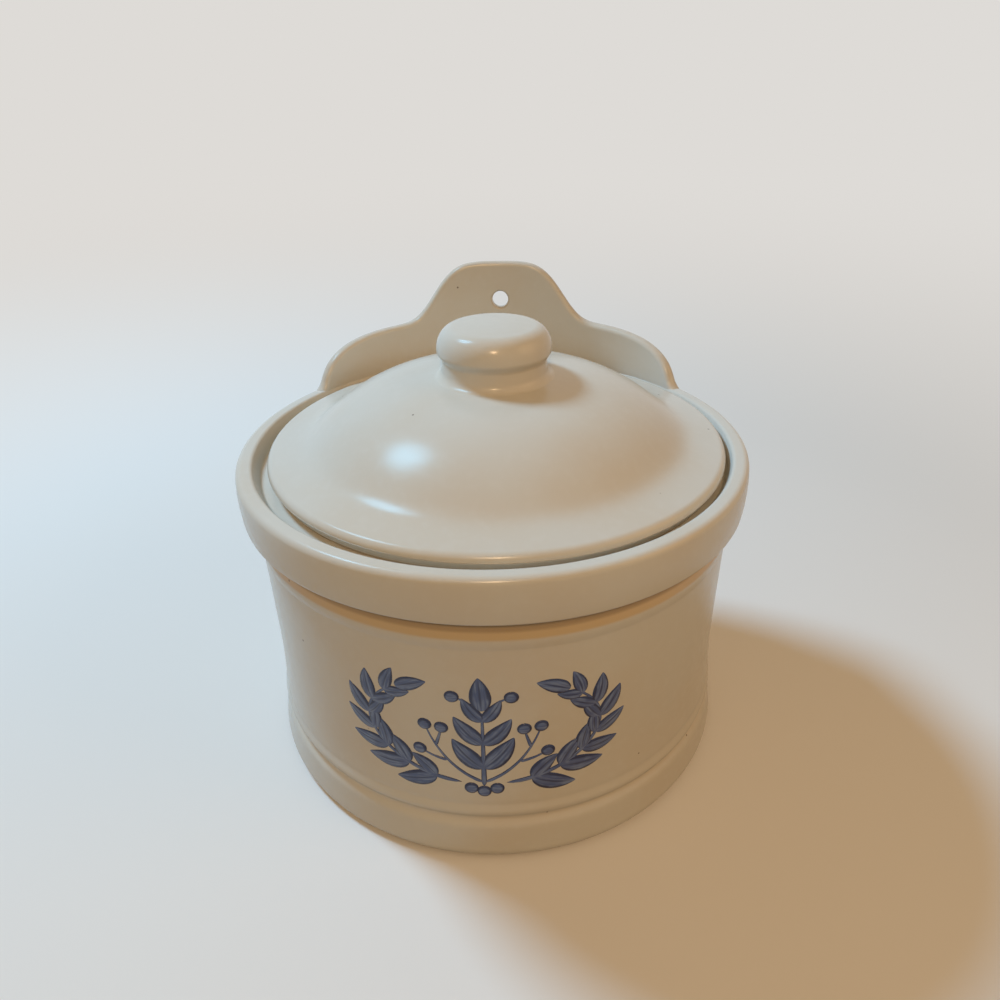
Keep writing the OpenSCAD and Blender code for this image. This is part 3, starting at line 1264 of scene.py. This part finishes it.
@dataclass
class LeafSpray:
    """Two leafy branches round an upright sprig with berries, painted in low relief on the front of the wall.

    Its plane coordinates are the arc length s to the right and the height h above its middle, in mm. Angles
    are in degrees, and the stalks are those of the right half. The hand's fields make the leaves uneven.
    """

    crock: Crock
    middle_z: float = 45.0
    reach: float = 31.0
    rise: float = 18.0
    sink: float = 0.5
    branch_ends: Range = (10.0, 134.0)
    branch_leaves: Array = field(default_factory=lambda: np.linspace(24, 124, 7))
    sprig_base: float = -18.5
    sprig_top: float = 8.0
    sprig_leaves: Array = field(default_factory=lambda: np.array([-12.0, -3.5, 4.5]))
    leaf_spread: float = 44.0
    sprig_spread: float = 50.0
    outer_leaf: Leaf = Leaf(12.0, 2.7, 0.2)
    inner_leaf: Leaf = Leaf(9.8, 2.4, -0.2)
    tip_leaf: Leaf = Leaf(10.0, 2.4, 0.1)
    sprig_leaf: Leaf = Leaf(12.5, 2.8, 0.24)
    crown_leaf: Leaf = Leaf(12.0, 3.0)
    last_leaf_share: float = 0.74
    hand: float = 0.07
    hand_turn: float = 2.3
    hand_size: float = 1.7
    hand_start: float = 0.5
    leaf_base_power: float = 0.6
    leaf_tip_power: float = 0.9
    leaf_crown: float = 0.34
    leaf_crown_power: float = 0.7
    leaf_root: float = 0.3
    vein_depth: float = 0.1
    vein_share: float = 0.16
    paint_sink: float = 0.05
    stem_w: float = 0.8
    stem_crown: float = 0.3
    stem_taper: float = 0.55
    stem_tips: float = 14.0
    stalk_share: float = 0.72
    stalks: tuple[Stalk, ...] = (
        Stalk((0.0, -17.0), (11.0, -12.0), (15.0, 2.0)),
        Stalk((9.5, -9.8), (13.5, -9.2), (16.8, -7.0)),
        Stalk((12.4, -5.0), (11.2, -1.5), (10.6, 1.6)),
        Stalk((0.0, 5.5), (3.0, 11.5), (7.4, 12.6)),
    )
    berry_r: float = 1.9
    berry_crown: float = 0.5
    low_berry_drop: float = 1.6
    low_berry_step: Range = (3.4, 1.0)
    along_steps: int = 33
    round_steps: int = 28

    def wrap(self, plane: Array, lift: Array) -> Array:
        """Lay plane points on the wall: angle s / waist radius from the front, and the wall's radius + lift.

        Args:
            plane: Points (s, h), in mm.
            lift: Heights above the wall, in mm.

        Returns:
            Points in mm.
        """
        z = self.middle_z + plane[..., 1]
        angle = plane[..., 0] / self.crock.waist_r
        r = self.crock.wall_radius(z) * self.crock.out_of_round(angle - math.pi / 2, z) + lift
        return np.stack([r * np.sin(angle), -r * np.cos(angle), z], axis=-1)

    def branch(self, degrees: Array) -> tuple[Array, Array]:
        """Right-hand branch: (reach sin d, sink - rise cos d), with the direction that it grows in.

        Args:
            degrees: Angles d along the branch.

        Returns:
            Points (s, h) and angles of growth, in radians.
        """
        d = np.radians(degrees)
        path = np.stack([self.reach * np.sin(d), self.sink - self.rise * np.cos(d)], axis=-1)
        return path, np.arctan2(self.rise * np.sin(d), self.reach * np.cos(d))

    def leaf_rows(self) -> Array:
        """Every leaf of the spray: the right half, its mirror image and the crown, uneven as if by hand.

        Returns:
            Rows of base s, base h, angle, length, half width and sideways bow.
        """
        spread, wide = math.radians(self.leaf_spread), math.radians(self.sprig_spread)
        upright, whole = np.full(1, math.pi / 2), np.ones(1)
        base, grown = self.branch(self.branch_leaves)
        tip, tip_angle = self.branch(np.array(self.branch_ends[1:]))
        sprig = np.stack([0 * self.sprig_leaves, self.sprig_leaves], axis=1)
        sprig_angle = np.repeat(upright, len(sprig)) - wide
        fade = np.linspace(1, self.last_leaf_share, len(base))
        sprig_fade = np.linspace(1, self.last_leaf_share, len(sprig))
        right = np.concatenate(
            [
                self.outer_leaf.rows(base, grown - spread, fade),
                self.inner_leaf.rows(base, grown + spread, fade),
                self.tip_leaf.rows(tip, tip_angle, whole),
                self.sprig_leaf.rows(sprig, sprig_angle, sprig_fade),
            ]
        )
        left = right * [-1, 1, -1, 1, 1, -1] + [0, 0, math.pi, 0, 0, 0]
        crown = self.crown_leaf.rows(np.array([(0, self.sprig_top)]), upright, whole)
        rows = np.concatenate([right, left, crown])
        count = np.arange(len(rows))
        rows[:, 2] += self.hand * np.sin(self.hand_turn * count)
        rows[:, 3:5] *= 1 + self.hand * np.sin(self.hand_size * count + self.hand_start)[:, None]
        return rows

    def leaves(self) -> Surface:
        """Closed lens-shaped leaves with a groove along the vein.

        Along a leaf, u from 0 to 1, the half width is W u^p (1 - u)^q over its peak, with the powers of base
        and tip, and the middle line bows sideways by bow u^2. Round it, the width follows cos b and the crown
        a power of sin b, less a bell groove.

        Returns:
            The leaves, with the values edge, vein, along, across and stroke.
        """
        rows = self.leaf_rows()
        base, (angle, length, width, bow) = rows[:, :2], rows[:, 2:].T
        u = np.linspace(0, 1, self.along_steps)
        shape = u**self.leaf_base_power * (1 - u) ** self.leaf_tip_power
        shape = shape / shape.max()
        heading = np.stack([np.cos(angle), np.sin(angle)], axis=-1)[:, None]
        side = left_of(heading)
        bowed = bow[:, None, None] * u[:, None]
        path = base[:, None] + length[:, None, None] * u[:, None] * (heading + bowed * side)
        across = left_of(unit(heading + 2 * bowed * side))
        b = np.linspace(0, FULL_TURN, self.round_steps + 1)
        offset = (width[:, None] * shape)[..., None] * np.cos(b)
        vein = np.exp(-((np.cos(b) / self.vein_share) ** 2)) * np.sin(math.pi * u[:, None]) ** 0.5
        bulge = np.abs(np.sin(b)) ** self.leaf_crown_power
        crown = self.leaf_crown * np.sqrt(shape)[:, None] * bulge - self.vein_depth * vein
        root = -self.leaf_root * np.abs(np.sin(b)) * shape[:, None]
        lift = np.where(np.sin(b) > 0, crown, root) - self.paint_sink
        along = (length[:, None] * u)[..., None]
        return self.strokes(path, across, offset, lift, along, vein=vein)

    def strokes(
        self, path: Array, across: Array, offset: Array, lift: Array, along: Array, **values: Array
    ) -> Surface:
        """Lay brush strokes on the wall: each ring of a stroke is its path plus the offset to its side.

        Args:
            path: Points (s, h) of the middle lines, shaped (strokes, steps, 2).
            across: Directions to the left of the paths.
            offset: Distances along these, shaped (strokes, steps, ring).
            lift: Heights above the wall, in mm.
            along: Way along the stroke, in mm.
            **values: More values to keep at the points.

        Returns:
            The strokes, with the values edge, along, across and stroke, and those given.
        """
        b = np.linspace(0, FULL_TURN, self.round_steps + 1)
        plane = path[:, :, None] + offset[..., None] * across[:, :, None]
        stroke = np.arange(len(path))[:, None, None]
        values |= {"edge": np.abs(np.cos(b)), "along": along, "across": offset, "stroke": stroke}
        return Surface.from_grid(self.wrap(plane, np.broadcast_to(lift, offset.shape)), values)

    def stem_paths(self) -> Array:
        """Middle lines of the two branches, the sprig and the berry stalks.

        A stalk is a curve through start, pull and end: (1 - t)^2 start + 2 t (1 - t) pull + t^2 end.

        Returns:
            Points (s, h), shaped (stems, steps, 2).
        """
        t = np.linspace(0, 1, self.along_steps)
        first, last = self.branch_ends
        right = self.branch(first + t * (last - first))[0]
        sprig = np.stack([0 * t, self.sprig_base + t * (self.sprig_top - self.sprig_base)], axis=-1)
        points = np.array([(stalk.start, stalk.pull, stalk.end) for stalk in self.stalks])
        start, pull, end = points.swapaxes(0, 1)[:, :, None]
        t = t[:, None]
        stalks = (1 - t) ** 2 * start + 2 * t * (1 - t) * pull + t**2 * end
        mirror = np.array([-1, 1])
        return np.concatenate([[right, right * mirror, sprig], stalks, stalks * mirror])

    def stems(self) -> Surface:
        """Tapered stems of lens section along their paths, with stalks thinner than the other three.

        The half width is w (1 - taper t) sqrt(tips min(t, 1 - t)), with the product under the root at most 1.

        Returns:
            The stems, with the values edge, along, across and stroke.
        """
        path = self.stem_paths()
        across = left_of(unit(np.gradient(path, axis=1)))
        t = np.linspace(0, 1, self.along_steps)
        tips = np.sqrt(np.clip(np.minimum(t, 1 - t) * self.stem_tips, 0, 1))
        taper = ((1 - self.stem_taper * t) * tips)[:, None]
        weight = np.full(len(path), self.stalk_share)
        weight[: -2 * len(self.stalks)] = 1
        b = np.linspace(0, FULL_TURN, self.round_steps + 1)
        offset = self.stem_w * weight[:, None, None] * taper * np.cos(b)
        lift = np.where(np.sin(b) > 0, self.stem_crown, self.leaf_root) * np.sin(b) * taper - self.paint_sink
        along = np.cumsum(np.linalg.norm(np.gradient(path, axis=1), axis=-1), axis=1)[..., None]
        return self.strokes(path, across, offset, lift, along)

    def berries(self) -> Surface:
        """Berries as flattened balls: radius R sin b and lift crown (-cos b), for b from the root to the top.

        Returns:
            The berries, with the values edge, along, across and stroke.
        """
        ends = np.array([stalk.end for stalk in self.stalks])
        aside, up = self.low_berry_step
        low = np.array([(0, 0), (aside, up), (-aside, up)]) + [0, self.sprig_base - self.low_berry_drop]
        centre = np.concatenate([ends, ends * [-1, 1], low])
        b = np.linspace(0, math.pi, self.round_steps)[:, None]
        a = np.linspace(0, FULL_TURN, self.round_steps + 1)
        ring = self.berry_r * np.sin(b)[..., None] * np.stack([np.cos(a), np.sin(a)], axis=-1)
        plane = centre[:, None, None] + ring
        lift = np.broadcast_to(-self.berry_crown * np.cos(b), plane.shape[:-1])
        values = {"edge": np.sin(b), "along": ring[..., 0], "across": ring[..., 1]}
        values["stroke"] = np.arange(len(centre))[:, None, None]
        return Surface.from_grid(self.wrap(plane, lift), values)

    def build(self, cobalt: Material) -> list[bpy.types.Object]:
        """Make the leaves, stems and berries.

        Args:
            cobalt: Their finish.

        Returns:
            The three pieces, riding on the crock.
        """
        shapes = {
            "painted_leaves": self.leaves(),
            "painted_stems": self.stems(),
            "painted_berries": self.berries(),
        }
        return [
            settle(shape.to_object(name, cobalt), Body.CROCK, Slot.COBALT) for name, shape in shapes.items()
        ]


@dataclass(frozen=True)
class Lamp:
    """A round studio lamp that faces the object, and lights it, shows in its gloss, or does both.

    Angles are in degrees, from the +X axis and up from the floor. Distance and size are in metres.
    """

    name: str
    azimuth: float
    elevation: float
    distance: float
    size: Range
    level: float
    colour: Colour
    lights: bool = True
    mirrored: bool = True

    def build(self, target: Vector) -> bpy.types.Object:
        """Hang the lamp and aim it, at a power that gives its level on a surface that faces it.

        A lamp of P watts gives P / (pi d^2) at distance d, and pi is what shows a colour as it is written.

        Args:
            target: Point that it faces, in metres.

        Returns:
            The lamp's object.
        """
        light = bpy.data.lights.new(self.name, "AREA")
        light.shape = "ELLIPSE"
        light.size, light.size_y = self.size
        light.energy = self.level * (math.pi * self.distance) ** 2
        light.color = linear(self.colour)[:3]
        lamp = bpy.data.objects.new(self.name, light)
        a, e = math.radians(self.azimuth), math.radians(self.elevation)
        out = Vector((math.cos(a) * math.cos(e), math.sin(a) * math.cos(e), math.sin(e)))
        turn = (-out).to_track_quat("-Z", "Y").to_matrix().to_4x4()
        lamp.matrix_world = Matrix.Translation(target + self.distance * out) @ turn
        lamp.visible_camera = False
        lamp.visible_diffuse = self.lights
        lamp.visible_glossy = self.mirrored
        bpy.context.scene.collection.objects.link(lamp)
        return lamp


@dataclass
class Studio:
    """A pale floor and backdrop, a cool window behind on the left, warm lamps in front, and the camera.

    The window is two lamps: one that shows in the gloss, and the light of the sky through it. The floor is in
    mm, the aim and the camera's place in metres, and the camera's angles are in degrees.
    """

    floor_r: float = 4000.0
    floor_step: float = 200.0
    aim: tuple[float, float, float] = (0.0, 0.0, 0.07)
    room_level: float = 0.28
    room_colour: Colour = (255, 227, 188)
    lamps: tuple[Lamp, ...] = (
        Lamp("window", 162.0, 57.0, 1.1, (0.32, 0.32), 0.32, (140, 214, 255), lights=False),
        Lamp("sky", 149.0, 48.0, 1.2, (0.26, 0.24), 0.96, (172, 219, 255), mirrored=False),
        Lamp("front_lamp", -88.0, 41.0, 1.0, (0.1, 0.1), 0.26, (255, 214, 165)),
        Lamp("side_fill", -14.0, 30.0, 1.0, (0.6, 0.6), 0.14, (255, 205, 150)),
    )
    camera_place: tuple[float, float, float] = (0.0123, -0.2059, 0.1901)
    camera_yaw: float = -2.86
    camera_pitch: float = -29.56
    camera_roll: float = -1.10
    camera_near: float = 0.01
    focal_px: float = 751.0
    frame_px: float = 1000.0
    sensor_mm: float = 36.0

    def build(self, paper: StudioPaper) -> None:
        """Set up the floor, the lamps, the room's light and the camera.

        Args:
            paper: Finish of the floor and backdrop.
        """
        edge = np.array([(0, 0), (self.floor_r, 0)], float)
        disc = turned(stepped(edge, self.floor_step), np.zeros(2), flip=True)
        disc.to_object("paper_floor", paper.floor())
        for lamp in self.lamps:
            lamp.build(Vector(self.aim))
        bpy.context.scene.world = self.room(paper)
        bpy.context.scene.view_settings.view_transform = "Standard"
        bpy.context.scene.camera = self.camera()

    def room(self, paper: StudioPaper) -> bpy.types.World:
        """Light the room evenly, and show the backdrop's colour behind the object.

        Args:
            paper: Finish of the backdrop.

        Returns:
            The world.
        """
        world = bpy.data.worlds.new("room")
        world.use_nodes = True
        tree = world.node_tree
        light = tree.nodes["Background"]
        light.inputs["Color"].default_value = linear(self.room_colour)
        light.inputs["Strength"].default_value = self.room_level
        plain = tree.nodes.new("ShaderNodeBackground")
        plain.inputs["Color"].default_value = linear(paper.backdrop)
        blend = tree.nodes.new("ShaderNodeMixShader")
        for source, socket in zip((seen_ray(tree), light.outputs[0], plain.outputs[0]), blend.inputs):
            tree.links.new(source, socket)
        tree.links.new(blend.outputs[0], tree.nodes["World Output"].inputs["Surface"])
        return world

    def camera(self) -> bpy.types.Object:
        """Stand the camera where the photograph was taken from.

        Returns:
            The camera's object.
        """
        data = bpy.data.cameras.new("photo_camera")
        data.sensor_width = self.sensor_mm
        data.lens = self.sensor_mm * self.focal_px / self.frame_px
        data.clip_start = self.camera_near
        yaw, pitch, roll = (math.radians(a) for a in (self.camera_yaw, self.camera_pitch, self.camera_roll))
        look = Vector((math.sin(yaw) * math.cos(pitch), math.cos(yaw) * math.cos(pitch), math.sin(pitch)))
        level = look.cross(Vector((0, 0, 1))).normalized()
        upright = level.cross(look)
        right = math.cos(roll) * level + math.sin(roll) * upright
        up = math.cos(roll) * upright - math.sin(roll) * level
        camera = bpy.data.objects.new("photo_camera", data)
        turn = Matrix((right, up, -look)).transposed().to_4x4()
        camera.matrix_world = Matrix.Translation(Vector(self.camera_place)) @ turn
        bpy.context.scene.collection.objects.link(camera)
        return camera


def main() -> None:
    """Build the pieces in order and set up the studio."""
    logging.basicConfig(level=logging.INFO, format="%(name)s %(message)s")
    glaze = CreamGlaze().material()
    crock = Crock.from_frame()
    crock.build(glaze)
    BackPlate.from_frame(crock).build(glaze)
    Lid.from_frame(crock).build(glaze)
    LeafSpray(crock).build(CobaltPaint().material())
    Studio().build(StudioPaper())


if __name__ == "__main__":
    main()
